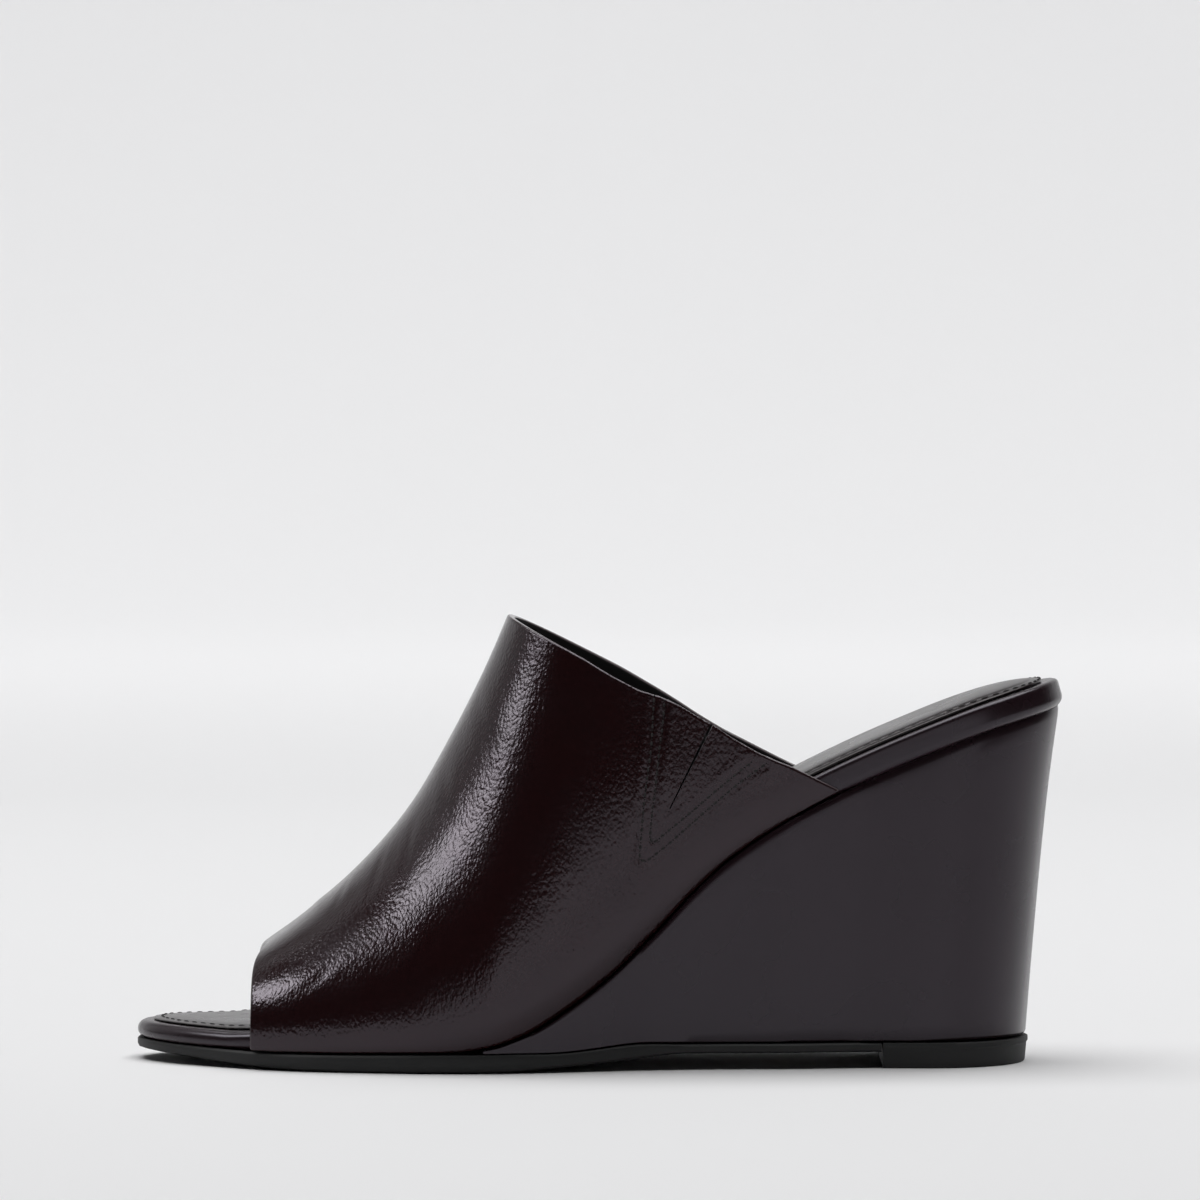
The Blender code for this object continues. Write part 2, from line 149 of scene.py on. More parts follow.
def curve(rows, at):
    # smooth curve through (place, value) rows that never overshoots; at may be an array
    places = np.array([row[0] for row in rows])
    values = np.array([row[1] for row in rows])
    at = np.asarray(at, dtype=float)
    pitch = np.diff(values) / np.diff(places)
    slopes = np.zeros(len(rows))
    slopes[0] = pitch[0]
    slopes[-1] = pitch[-1]
    if len(rows) > 2:
        product = pitch[:-1] * pitch[1:]
        total = pitch[:-1] + pitch[1:]
        safe = np.where(product > 0, total, 1.0)
        slopes[1:-1] = np.where(product > 0, 2 * product / safe, 0.0)
    k = np.clip(np.searchsorted(places, at, side="right") - 1, 0, len(rows) - 2)
    span = places[k + 1] - places[k]
    t = np.clip((at - places[k]) / span, 0.0, 1.0)
    start = slopes[k] * span
    end = slopes[k + 1] * span
    rise = values[k + 1] - values[k]
    return values[k] + t * (start + t * ((3 * rise - 2 * start - end) + t * (start + end - 2 * rise)))


def column(rows, index):
    return [(row[0], row[index]) for row in rows]


def xAt(station):
    return (station - 0.5) * shoe["length"]


def stationAt(x):
    return x / shoe["length"] + 0.5


def spine(station):
    left = np.maximum(0.0, 1 - station / shoe["spineEnd"])
    return shoe["toeOffset"] * left * left


def endRound(station):
    share = 1.0
    power = shoe["roundPower"]
    for reach, size in ((station, shoe["toeRound"]), (1 - station, shoe["heelRound"])):
        left = np.clip(reach * shoe["length"] / size, 0.0, 1.0)
        share = share * (1 - (1 - left) ** power) ** (1 / power)
    return share


def edgeY(side, station, grow=0.0):
    # plan edge of the board: side is -1 for the outer side and 1 for the inner one
    outer = curve(column(outlineRows, 1), station)
    inner = curve(column(outlineRows, 2), station)
    half = np.where(np.asarray(side) < 0, outer, inner) * boardWidth * endRound(station)
    return spine(station) + side * np.maximum(0.0, half + grow)


def soleBottom(station):
    spring = curve(column(soleRows, 1), station) * shoe["toeSpring"]
    return spring + curve(column(soleRows, 2), station) * sole["waistLift"]


def soleTop(station):
    return soleBottom(station) + curve(column(soleRows, 3), station) * sole["thickness"]


def boardBottom(station):
    wedgeHeight = shoe["heelHeight"] - sole["heelPieceHeight"] - shoe["gap"]
    return soleTop(station) + shoe["gap"] + curve(climbRows, station) * wedgeHeight


def boardSlope(station):
    low = np.maximum(0.0, station - 0.004)
    high = np.minimum(1.0, station + 0.004)
    return (boardBottom(high) - boardBottom(low)) / ((high - low) * shoe["length"])


def toeThinning(station):
    # 1 at the bare toe, where board and sock are skived thin, 0 behind the toe opening
    return curve(((0.10, 1.0), (0.20, 0.0)), station)


def boardThickness(station):
    return 0.0056 + (0.0064 - 0.0056) * station - 0.0017 * toeThinning(station)


def cover(station):
    # 1 where the upper wraps the board's side, 0 at the bare toe and heel
    front = upperRows[0][0]
    rear = upperRows[-1][0]
    into = curve(((front - 0.07, 0.0), (front + 0.06, 1.0)), station)
    out = curve(((rear - 0.05, 1.0), (rear + 0.03, 0.0)), station)
    return np.minimum(into, out)


def underEdge(side, station):
    share = cover(station)
    return edgeY(side, station, share * (shoe["wall"] + shoe["gap"]) - (1 - share) * sole["overhang"])


def wedgeFootEdge(side, station):
    share = curve(((sole["wedgeStart"], 0.0), (0.62, 1.0)), station)
    return underEdge(side, station) - side * sole["taper"] * share


def outsoleEnd():
    x = xAt(1.0) - sole["rake"] - sole["backStep"] - sole["heelPieceLength"] - shoe["gap"]
    return stationAt(x)


def upperSurface(place, turn):
    # outer face of the upper: place 0 toe opening to 1 collar, turn 0 outer foot to 1 inner foot
    count = len(upperRows) - 1
    names = ("foot", "ridge", "height", "lean", "outer", "inner", "full")
    row = {}
    for index, name in enumerate(names):
        row[name] = curve([(k / count, r[index]) for k, r in enumerate(upperRows)], place)
    angle = np.pi * np.clip(turn, 0.0, 1.0)
    power = 2 / row["full"]
    rise = np.abs(np.sin(angle)) ** power
    footX = xAt(row["foot"])
    footZ = boardBottom(row["foot"])
    x = footX + (xAt(row["ridge"]) - footX) * rise
    z = footZ + (row["height"] * shoe["instepHeight"] - footZ) * rise
    side = np.where(turn < 0.5, -1.0, 1.0)
    middle = row["lean"] * shoe["ballWidth"]
    reach = np.abs(edgeY(side, stationAt(x), shoe["wall"] + shoe["gap"]) - middle)
    narrow = np.abs(np.cos(angle)) ** power
    bulge = np.where(turn < 0.5, row["outer"], row["inner"]) * shoe["ballWidth"]
    bulge = bulge * np.sin(np.pi * rise ** 0.65)
    scoop = 0.0030 * rise ** 12 * np.maximum(0.0, 1 - place * 6)
    return np.stack([x + scoop, middle + side * (reach * narrow + bulge), z], axis=-1)


def upperNormal(place, turn):
    step = 0.004
    along = upperSurface(np.minimum(1, place + step), turn) - upperSurface(np.maximum(0, place - step), turn)
    around = upperSurface(place, np.minimum(1, turn + step)) - upperSurface(place, np.maximum(0, turn - step))
    normal = np.cross(along, around)
    return normal / np.linalg.norm(normal, axis=-1, keepdims=True)


# The CAD pieces were centred over the origin: how far these formulas are from them
boardStations = np.linspace(0, 1, 401)
boardLow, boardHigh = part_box("footbed")
ownLow = edgeY(-1, boardStations).min()
ownHigh = edgeY(1, boardStations).max()
shift = Vector((
    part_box("upper")[0][0] - xAt(upperRows[0][0]),
    0.5 * (boardLow[1] + boardHigh[1] - ownLow - ownHigh),
    0.0,
))
print("own sizes to CAD, mm:", [round(v / mm, 2) for v in shift])


# Nodes and materials


def toLinear(hexColour):
    parts = [int(hexColour[k:k + 2], 16) / 255 for k in (1, 3, 5)]
    linear = [c / 12.92 if c <= 0.04045 else ((c + 0.055) / 1.055) ** 2.4 for c in parts]
    return (*linear, 1.0)


def addNode(tree, kind, settings=None, sockets=None):
    # a socket value is a number, a colour, a vector, or (node, output) for a link
    node = tree.nodes.new(kind)
    for name, value in (settings or {}).items():
        setattr(node, name, value)
    for name, value in (sockets or {}).items():
        if isinstance(value, tuple) and isinstance(value[0], bpy.types.Node):
            tree.links.new(value[0].outputs[value[1]], node.inputs[name])
        else:
            node.inputs[name].default_value = value
    return node


def startMaterial(name, colour, roughness, extra=None):
    material = bpy.data.materials.new(name)
    material.use_nodes = True
    tree = material.node_tree
    shader = tree.nodes["Principled BSDF"]
    shader.inputs["Base Color"].default_value = toLinear(colour)
    shader.inputs["Roughness"].default_value = roughness
    shader.inputs["Metallic"].default_value = 0.0
    for socket, value in (extra or {}).items():
        shader.inputs[socket].default_value = value
    material.diffuse_color = toLinear(colour)
    return material, tree, shader


def grainedLeather(look):
    # pebbles from cells of grainMm drawn out along the skin, fine pores, broad waves,
    # and a slow change of colour and gloss
    material, tree, shader = startMaterial(look["name"], look["colour"], look["roughness"], look["extra"])
    where = addNode(tree, "ShaderNodeTexCoord")
    drawn = addNode(tree, "ShaderNodeMapping", {"vector_type": "POINT"}, {
        "Vector": (where, "Object"), "Rotation": (0.0, math.radians(look["grainTurn"]), 0.0),
        "Scale": (1.0, 1.0, 1 / look["grainStretch"])})
    warp = addNode(tree, "ShaderNodeTexNoise", {}, {
        "Vector": (drawn, "Vector"), "Scale": 0.7 / (look["grainMm"] * mm), "Detail": 2.0})
    moved = addNode(tree, "ShaderNodeVectorMath", {"operation": "MULTIPLY_ADD"}, {
        0: (warp, "Color"), 1: (look["grainMm"] * mm * 1.4,) * 3, 2: (drawn, "Vector")})
    pebble = addNode(tree, "ShaderNodeTexVoronoi", {"feature": "SMOOTH_F1"}, {
        "Vector": (moved, "Vector"), "Scale": 1 / (look["grainMm"] * mm), "Smoothness": 0.35})
    pores = addNode(tree, "ShaderNodeTexNoise", {}, {
        "Vector": (drawn, "Vector"), "Scale": 1.7 / (look["grainMm"] * mm), "Detail": 2.0, "Roughness": 0.6})
    waves = addNode(tree, "ShaderNodeTexNoise", {}, {
        "Vector": (where, "Object"), "Scale": 1 / (look["waveMm"] * mm), "Detail": 2.0})
    bumpWaves = addNode(tree, "ShaderNodeBump", {}, {
        "Height": (waves, "Fac"), "Strength": 1.0, "Distance": look["waveDepth"] * mm})
    bumpPores = addNode(tree, "ShaderNodeBump", {}, {
        "Height": (pores, "Fac"), "Strength": 1.0, "Distance": look["poreDepth"] * mm,
        "Normal": (bumpWaves, "Normal")})
    bumpPebbles = addNode(tree, "ShaderNodeBump", {"invert": True}, {
        "Height": (pebble, "Distance"), "Strength": 1.0, "Distance": look["grainDepth"] * mm,
        "Normal": (bumpPores, "Normal")})
    clouds = addNode(tree, "ShaderNodeTexNoise", {}, {
        "Vector": (where, "Object"), "Scale": 1 / (look["cloudMm"] * mm), "Detail": 3.0})
    tone = addNode(tree, "ShaderNodeMix", {"data_type": "RGBA"}, {
        0: (clouds, "Fac"), 6: toLinear(look["colour"]), 7: toLinear(look["cloudColour"])})
    gloss = addNode(tree, "ShaderNodeMapRange", {}, {
        "Value": (clouds, "Fac"), "From Min": 0.3, "From Max": 0.7,
        "To Min": look["roughness"] - look["glossChange"], "To Max": look["roughness"] + look["glossChange"]})
    tree.links.new(tone.outputs[2], shader.inputs["Base Color"])
    tree.links.new(gloss.outputs["Result"], shader.inputs["Roughness"])
    tree.links.new(bumpPebbles.outputs["Normal"], shader.inputs["Normal"])
    return material


# Full-grain calf, aniline dyed oxblood nearly black, embossed and polished: sparkling highlight
oxbloodCalf = grainedLeather({
    "name": "oxbloodCalfPolished",
    "colour": "#240f10",
    "cloudColour": "#1b0b0c",
    "roughness": 0.18,
    "glossChange": 0.03,
    "grainMm": 0.75,
    "grainStretch": 1.6,
    "grainTurn": 25.0,
    "grainDepth": 0.06,
    "poreDepth": 0.03,
    "waveMm": 4.0,
    "waveDepth": 0.05,
    "cloudMm": 14.0,
    "extra": {"IOR": 1.5, "Specular Tint": toLinear("#fbf2ff")},
})

# Smooth calf stretched over the wedge, satin finish: even dark grey sheen, hardly any grain
satinCalf = grainedLeather({
    "name": "smoothCalfSatin",
    "colour": "#23151a",
    "cloudColour": "#1f1216",
    "roughness": 0.27,
    "glossChange": 0.02,
    "grainMm": 0.7,
    "grainStretch": 1.3,
    "grainTurn": 0.0,
    "grainDepth": 0.004,
    "poreDepth": 0.003,
    "waveMm": 9.0,
    "waveDepth": 0.03,
    "cloudMm": 22.0,
    "extra": {"IOR": 1.5, "Specular Tint": toLinear("#f6f2ff")},
})

# Thin sock leather, pressed smooth: dark from above, pale where the backdrop glances off it
sockLeather = grainedLeather({
    "name": "sockLeatherSatin",
    "colour": "#221618",
    "cloudColour": "#1a1113",
    "roughness": 0.28,
    "glossChange": 0.03,
    "grainMm": 0.7,
    "grainStretch": 1.2,
    "grainTurn": 0.0,
    "grainDepth": 0.006,
    "poreDepth": 0.005,
    "waveMm": 12.0,
    "waveDepth": 0.08,
    "cloudMm": 18.0,
    "extra": {"IOR": 1.5},
})

# Black split-leather lining, brushed: nearly no shine
liningLeather = grainedLeather({
    "name": "liningSplitBlack",
    "colour": "#161213",
    "cloudColour": "#1d1819",
    "roughness": 0.75,
    "glossChange": 0.05,
    "grainMm": 0.5,
    "grainStretch": 1.0,
    "grainTurn": 0.0,
    "grainDepth": 0.02,
    "poreDepth": 0.02,
    "waveMm": 10.0,
    "waveDepth": 0.05,
    "cloudMm": 12.0,
    "extra": {"IOR": 1.5},
})

# Cut leather edge, buffed and left without edge paint, coloured pale grey: a painted highlight along the slit
slitPaintedHighlight, _, _ = startMaterial("calfRawEdgePaintedHighlight", "#8a8387", 0.6)

# The same edge, burnished and waxed round the collar and the toe opening, but coloured grey: a painted highlight that
# makes the thin bright line
rimPaintedHighlight, _, _ = startMaterial("calfEdgePaintedHighlight", "#5f5558", 0.3, {"IOR": 1.5, "Coat Weight": 0.6})

# Waxed polyester thread, dull black with a slight sheen, and a near-black disc at each needle hole: painted shade for
# the dark of the hole
waxedThread, _, _ = startMaterial("waxedThreadBlack", "#151112", 0.7)
paintedHoleShade, _, _ = startMaterial("paintedHoleShade", "#040303", 0.9)


def mouldedRubber(look):
    material, tree, shader = startMaterial(look["name"], look["colour"], look["roughness"], {"IOR": 1.52})
    where = addNode(tree, "ShaderNodeTexCoord")
    fine = addNode(tree, "ShaderNodeTexNoise", {}, {
        "Vector": (where, "Object"), "Scale": 1 / (look["grainMm"] * mm), "Detail": 3.0})
    bump = addNode(tree, "ShaderNodeBump", {}, {
        "Height": (fine, "Fac"), "Strength": 1.0, "Distance": look["grainDepth"] * mm})
    tree.links.new(bump.outputs["Normal"], shader.inputs["Normal"])
    return material


# Compression-moulded rubber with a fine matt grain: flat blue-black edge
soleRubber = mouldedRubber({
    "name": "soleRubberMoulded", "colour": "#08090b", "roughness": 0.6, "grainMm": 0.5, "grainDepth": 0.02})


def wovenElastic(look):
    # ribs of covered rubber cord along the height, crossed by fine weft
    material, tree, shader = startMaterial(look["name"], look["colour"], look["roughness"])
    where = addNode(tree, "ShaderNodeTexCoord")
    ribs = addNode(tree, "ShaderNodeTexWave", {"wave_type": "BANDS", "bands_direction": "X"}, {
        "Vector": (where, "Object"), "Scale": 0.3 / (look["ribMm"] * mm), "Distortion": 0.2})
    weft = addNode(tree, "ShaderNodeTexWave", {"wave_type": "BANDS", "bands_direction": "Z"}, {
        "Vector": (where, "Object"), "Scale": 0.3 / (look["weftMm"] * mm), "Distortion": 0.3})
    both = addNode(tree, "ShaderNodeMath", {"operation": "ADD"}, {0: (ribs, "Fac"), 1: (weft, "Fac")})
    bump = addNode(tree, "ShaderNodeBump", {}, {
        "Height": (both, "Value"), "Strength": 1.0, "Distance": look["depth"] * mm})
    tree.links.new(bump.outputs["Normal"], shader.inputs["Normal"])
    return material


# Woven elastic, covered rubber cords about a millimetre apart: matt ribbed black
elasticWeave = wovenElastic({
    "name": "elasticWovenBlack", "colour": "#0e0d0e", "roughness": 0.85,
    "ribMm": 1.0, "weftMm": 0.5, "depth": 0.1})
print("materials ready")


# Shared builders


def makePiece(name, mesh, materials, nodes, sharp=35):
    if all(len(edge.link_faces) == 2 for edge in mesh.edges):
        bmesh.ops.recalc_face_normals(mesh, faces=mesh.faces)
    data = bpy.data.meshes.new(name)
    mesh.to_mesh(data)
    mesh.free()
    piece = bpy.data.objects.new(name, data)
    bpy.context.scene.collection.objects.link(piece)
    for material in materials:
        data.materials.append(material)
    data.shade_smooth()
    data.set_sharp_from_angle(angle=math.radians(sharp))
    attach(piece, "root")
    if nodes:
        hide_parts(*nodes)
    return piece


def bakeModifiers(piece):
    graph = bpy.context.evaluated_depsgraph_get()
    graph.update()
    baked = bpy.data.meshes.new_from_object(piece.evaluated_get(graph))
    old = piece.data
    piece.modifiers.clear()
    piece.data = baked
    bpy.data.meshes.remove(old)


def gridOf(columns, rows):
    # a grid whose vertices get their place from two shares, 0 to 1 across and 0 to 1 up
    mesh = bmesh.new()
    bmesh.ops.create_grid(mesh, x_segments=columns, y_segments=rows, size=0.5)
    mesh.verts.ensure_lookup_table()
    shares = np.array([(v.co.x + 0.5, v.co.y + 0.5) for v in mesh.verts])
    return mesh, shares[:, 0], shares[:, 1]


def placeVerts(mesh, points):
    for vert, point in zip(mesh.verts, points):
        vert.co = Vector(point) + shift


def ringStack(count, levels, placeRing, pairs):
    # a tube of rings bent from a grid, closed by caps cut into strips between the pairs
    mesh, across, up = gridOf(count, levels - 1)
    ringIndex = np.rint(across * count).astype(int)
    levelIndex = np.rint(up * (levels - 1)).astype(int)
    placeVerts(mesh, placeRing(ringIndex % count, levelIndex))
    byPlace = {}
    for vert, k, level in zip(mesh.verts, ringIndex, levelIndex):
        byPlace[(int(k), int(level))] = vert
    target = {byPlace[(count, level)]: byPlace[(0, level)] for level in range(levels)}
    bmesh.ops.weld_verts(mesh, targetmap=target)
    for level in (0, levels - 1):
        ring = [byPlace[(k, level)] for k in range(count)]
        bmesh.ops.contextual_create(mesh, geom=ring)
        for a, b in pairs:
            shared = [f for f in ring[a].link_faces if ring[b] in f.verts and len(f.verts) > 4]
            if shared:
                bmesh.utils.face_split(shared[0], ring[a], ring[b])
    return mesh


def easedStations(first, last, count):
    # closer together toward the round toe and heel
    turn = np.pi * np.arange(count + 1) / count
    eased = 0.5 * (0.5 - 0.5 * np.cos(turn)) + 0.5 * np.arange(count + 1) / count
    stations = first + (last - first) * eased
    if first == 0.0:
        stations[1] = stations[2] * 0.25
    if last == 1.0:
        stations[-2] = 1 - (1 - stations[-3]) * 0.25
    return stations


def roundLevels(thickness, bottomRound, topRound, steps):
    # inset and rise of each ring round a slab's side
    rings = []
    for k in range(steps + 1):
        turn = 0.5 * math.pi * k / steps
        rings.append((bottomRound * (1 - math.sin(turn)), bottomRound * (1 - math.cos(turn))))
    for k in range(steps + 1):
        turn = 0.5 * math.pi * k / steps
        rings.append((topRound * (1 - math.cos(turn)), thickness - topRound * (1 - math.sin(turn))))
    return rings


def bentSlab(inset, baseRise, profileAt, count=110):
    # a slab that follows the footbed; profileAt(stations) gives arrays of inset and rise per level
    stations = easedStations(0.0, 1.0, count)
    order = np.concatenate([stations, stations[1:-1][::-1]])
    side = np.concatenate([-np.ones(count + 1), np.ones(count - 1)])
    flat = np.stack([xAt(order), edgeY(side, order)], axis=-1)
    along = np.roll(flat, -1, axis=0) - np.roll(flat, 1, axis=0)
    along = along / np.linalg.norm(along, axis=1, keepdims=True)
    normal = np.stack([along[:, 1], -along[:, 0]], axis=-1)
    insets, rises = profileAt(order)

    def placeRing(k, level):
        moved = flat[k] - normal[k] * (inset + insets[level, k])[:, None]
        at = np.clip(stationAt(moved[:, 0]), 0.0, 1.0)
        slope = boardSlope(at)
        length = np.hypot(1, slope)
        height = baseRise(at) + rises[level, k]
        x = moved[:, 0] - slope / length * height
        return np.stack([x, moved[:, 1], boardBottom(at) + height / length], axis=-1)

    total = len(order)
    pairs = [(k, total - k) for k in range(1, total // 2)]
    return ringStack(total, len(insets), placeRing, pairs)


def bluntStack(first, last, count, levels, place):
    # a block with one straight end, at first, and a round one, at last, or the other way round
    stations = easedStations(min(first, last), max(first, last), count)
    if last < first:
        stations = stations[::-1]
    order = np.concatenate([stations, stations[:-1][::-1]])
    side = np.concatenate([-np.ones(count + 1), np.ones(count)])

    def placeRing(k, level):
        return place(side[k], order[k], level)

    total = len(order)
    pairs = [(k, total - 1 - k) for k in range(1, count)]
    return ringStack(total, levels, placeRing, pairs)


# Footbed: board wrapped in the same calf, a round rim all the way

footbedLook = {"topRound": 0.0012, "toeRound": 0.0022, "bottomRound": 0.0023, "toeBottomRound": 0.0014, "steps": 6}


def footbedProfile(stations):
    toe = toeThinning(stations)
    top = footbedLook["topRound"] + (footbedLook["toeRound"] - footbedLook["topRound"]) * toe
    bottom = footbedLook["bottomRound"] + (footbedLook["toeBottomRound"] - footbedLook["bottomRound"]) * toe
    rings = [
        roundLevels(*sizes, footbedLook["steps"]) for sizes in zip(boardThickness(stations), bottom, top)]
    rings = np.array(rings)
    return rings[:, :, 0].T, rings[:, :, 1].T


footbedWrap = makePiece(
    "footbedWrap", bentSlab(0.0, lambda s: 0.0 * s, footbedProfile), [satinCalf], ["footbed"])
print("footbed wrapped")


# Sock: thin leather with a margin row of stitches, a little padded inside the row

sockLook = {
    "margin": 0.0036,
    "thickness": 0.0006,
    "round": 0.0004,
    "stitchInset": 0.0022,
    "grooveDepth": 0.00022,
    "padRise": 0.0012,
    "stitchPitch": 0.0030,
    "stitchLength": 0.0019,
    "threadRadius": 0.00032,
}


def sockProfile(stations):
    look = sockLook
    rings = roundLevels(look["thickness"], look["round"] * 0.2, look["round"], 3)
    top = look["thickness"]
    rings += [
        (look["stitchInset"] - 0.0009, top + look["padRise"] * 0.28),
        (look["stitchInset"] - 0.0004, top + look["padRise"] * 0.34),
        (look["stitchInset"], top + look["padRise"] * 0.44 - look["grooveDepth"]),
        (look["stitchInset"] + 0.0005, top + look["padRise"] * 0.50),
        (look["stitchInset"] + 0.0014, top + look["padRise"] * 0.66),
        (look["stitchInset"] + 0.0034, top + look["padRise"] * 0.88),
        (look["stitchInset"] + 0.0070, top + look["padRise"]),
    ]
    rings = np.array(rings)
    padded = 1 - 0.5 * toeThinning(stations)
    return np.repeat(rings[:, :1], len(stations), axis=1), rings[:, 1:] * padded[None, :]


def sockRise(stations):
    return boardThickness(stations) + shoe["gap"]


insoleSock = makePiece(
    "insoleSock", bentSlab(sockLook["margin"], sockRise, sockProfile), [sockLeather], ["insole"])
print("sock laid")


# Outsole: flat rubber with eased edges

outsoleLevels = ((1.0, 0.0), (0.45, 0.06), (0.0, 0.2), (0.0, 0.55), (0.0, 0.8), (0.25, 0.94), (0.6, 1.0))


def outsolePlace(side, station, level):
    rows = np.array(outsoleLevels)[level]
    inset = sole["bevel"] * rows[:, 0]
    share = rows[:, 1]
    x = xAt(station) + np.where(station == 0.0, inset, 0.0)
    x = x - np.where(station >= outsoleEnd() - 1e-9, 0.3 * inset, 0.0)
    lip = sole["lip"] * cover(station)
    front = underEdge(side, station) + side * lip
    rear = wedgeFootEdge(side, station) + side * lip * 0.6
    y = np.where(station < sole["wedgeStart"], front, rear)
    y = y - side * inset * np.minimum(1.0, station / 0.02)
    z = soleBottom(station) + share * (soleTop(station) - soleBottom(station))
    return np.stack([x, y, z], axis=-1)


outsoleRubber = makePiece(
    "outsoleRubber", bluntStack(outsoleEnd(), 0.0, 90, len(outsoleLevels), outsolePlace),
    [soleRubber], ["outsole"])


# Wedge cover: calf over the wedge, rolled in at the feather above and at the sole below

wedgeLevels = (
    (0.0, 0.0006), (0.004, 0.0002), (0.012, 0.0), (0.06, 0.0), (0.14, 0.0), (0.24, 0.0), (0.34, 0.0),
    (0.45, 0.0), (0.56, 0.0), (0.67, 0.0), (0.77, 0.0), (0.86, 0.0), (0.93, 0.00005), (0.97, 0.0002),
    (0.99, 0.0005), (1.0, 0.0009))


def wedgePlace(side, station, level):
    rows = np.array(wedgeLevels)[level]
    share = rows[:, 0]
    inset = rows[:, 1]
    tail = curve(((0.55, 0.0), (1.0, 1.0)), station)
    x = xAt(station) - tail * (sole["rake"] * (1 - share) ** 0.7 + sole["backStep"] + inset)
    foot = wedgeFootEdge(side, station)
    y = foot + (underEdge(side, station) - foot) * share ** 1.3
    y = np.where(side < 0, np.minimum(y + inset, spine(station)), np.maximum(y - inset, spine(station)))
    top = boardBottom(stationAt(xAt(station) - tail * sole["backStep"])) - shoe["gap"]
    bottom = soleTop(np.minimum(station, outsoleEnd())) + shoe["gap"]
    return np.stack([x, y, bottom + (top - bottom) * share], axis=-1)


wedgeCover = makePiece(
    "wedgeCover", bluntStack(sole["wedgeStart"], 1.0, 100, len(wedgeLevels), wedgePlace),
    [satinCalf], ["wedge"])


# Heel top piece: a rubber lift under the back of the wedge

heelLevels = ((0.0, 1.0), (0.06, 0.8), (0.75, 0.35), (0.80, 0.0), (0.96, 0.0), (1.0, 0.25))
heelFront = outsoleEnd() + shoe["gap"] / shoe["length"]
heelBack = xAt(1.0) - sole["rake"] - sole["backStep"] + sole["lip"]


def heelPlace(side, station, level):
    rows = np.array(heelLevels)[level]
    rise = rows[:, 0]
    taper = rows[:, 1]
    place = (station - heelFront) / (1 - heelFront)
    x = xAt(heelFront) + place * (heelBack - xAt(heelFront))
    x = x - taper * sole["heelPieceTaper"] * place
    y = wedgeFootEdge(side, station)
    y = y + side * np.minimum(sole["lip"], np.abs(y)) * (1 - taper)
    return np.stack([x, y, rise * sole["heelPieceHeight"]], axis=-1)


heelLift = makePiece(
    "heelLift", bluntStack(heelFront, 1.0, 50, len(heelLevels), heelPlace),
    [soleRubber], ["heel_top_piece"])
print("sole, wedge and heel lift made")


# Upper: one shell of calf with a black lining, soft creases, a slit and two rows of stitching

upperLook = {
    "around": 250,
    "along": 136,
    "rimRound": 0.0006,
    "collarBand": 0.16,
    "tuck": 0.0014,
    "tuckHeight": 0.0050,
    "stitchTrough": 0.00022,
    "troughWidth": 0.0009,
    "stitchPitch": 0.0020,
    "stitchLength": 0.0012,
    "threadRadius": 0.00032,
    "holeRadius": 0.0002,
    "slitWidth": 0.0019,
    "slitFront": -0.0365,
    "slitDepth": 0.0120,
    "slitFrontShare": 1.5,
    "slitDeepShare": 0.5,
    "slitTipWidth": 0.0003,
}
slitTop = (0.628, 0.800)
slitTip = (0.574, 0.583)

# How far the collar stands above its smooth line: (mm from the toe, mm up) on either side
collarOuter = (
    (86, 0.5), (104, 0.65), (113, 0.1), (118, 0.1), (121, 0.6), (124, 1.2), (128, 1.4),
    (132, 1.1), (136, 0.9), (141, 0.2), (148, 0.0), (155, 0.7), (165, 0.6))
collarInner = (
    (86, 0.5), (100, 0.9), (113, 1.0), (122, 0.5), (128, -0.1), (134, -0.9), (140, -1.3),
    (150, -1.3), (162, -0.9))

# V of double stitching on the outer side: (from the toe, height) in mm
outerRow = (
    (122.2, 87.4), (121.9, 84.4), (121.7, 79.7), (121.4, 75.1), (120.4, 68.1), (119.6, 61.2),
    (119.0, 54.3), (118.6, 49.8), (119.2, 48.7), (120.6, 49.3), (125.7, 53.3), (132.9, 59.6), (137.6, 63.6),
    (141.5, 66.9), (146.4, 70.4), (148.3, 71.7))
innerRow = (
    (124.5, 86.3), (124.4, 84.4), (124.0, 79.7), (123.3, 75.1), (122.6, 68.1), (121.7, 61.2),
    (121.1, 54.6), (121.6, 53.1), (124.4, 55.3), (130.8, 60.5), (136.3, 65.2), (140.3, 68.5),
    (144.8, 72.0))

# Soft flex creases, given one by one: place and turn at both ends, width and depth in mm
creaseRows = (
    (0.30, 0.30, 0.40, 0.43, 3.2, 0.09),
    (0.38, 0.27, 0.50, 0.41, 3.6, 0.10),
    (0.20, 0.33, 0.27, 0.46, 2.8, 0.07),
    (0.55, 0.30, 0.63, 0.42, 4.0, 0.08),
    (0.16, 0.56, 0.24, 0.68, 3.0, 0.06),
    (0.30, 0.58, 0.40, 0.72, 3.8, 0.08),
    (0.44, 0.60, 0.55, 0.74, 4.0, 0.08),
    (0.72, 0.30, 0.80, 0.45, 4.2, 0.07),
    (0.10, 0.12, 0.20, 0.20, 3.4, 0.08),
    (0.30, 0.10, 0.42, 0.17, 4.0, 0.09),
)
placeReach = 0.115
turnReach = 0.225


def lineGap(place, turn, row):
    # distance to a crease's line, in metres along the leather
    px, tx = place * placeReach, turn * turnReach
    ax, ay, bx, by = row[0] * placeReach, row[1] * turnReach, row[2] * placeReach, row[3] * turnReach
    dx, dy = bx - ax, by - ay
    t = np.clip(((px - ax) * dx + (tx - ay) * dy) / (dx * dx + dy * dy), 0.0, 1.0)
    fade = np.clip(4 * t * (1 - t), 0.0, 1.0)
    return np.hypot(px - ax - t * dx, tx - ay - t * dy), fade


def creaseRelief(place, turn):
    relief = np.zeros_like(place)
    for row in creaseRows:
        away, fade = lineGap(place, turn, row)
        width = row[4] * mm
        trough = np.exp(-((away / (0.5 * width)) ** 2))
        ridge = np.exp(-(((away - width) / (0.6 * width)) ** 2))
        relief = relief + row[5] * mm * fade * (0.55 * ridge - trough)
    return relief


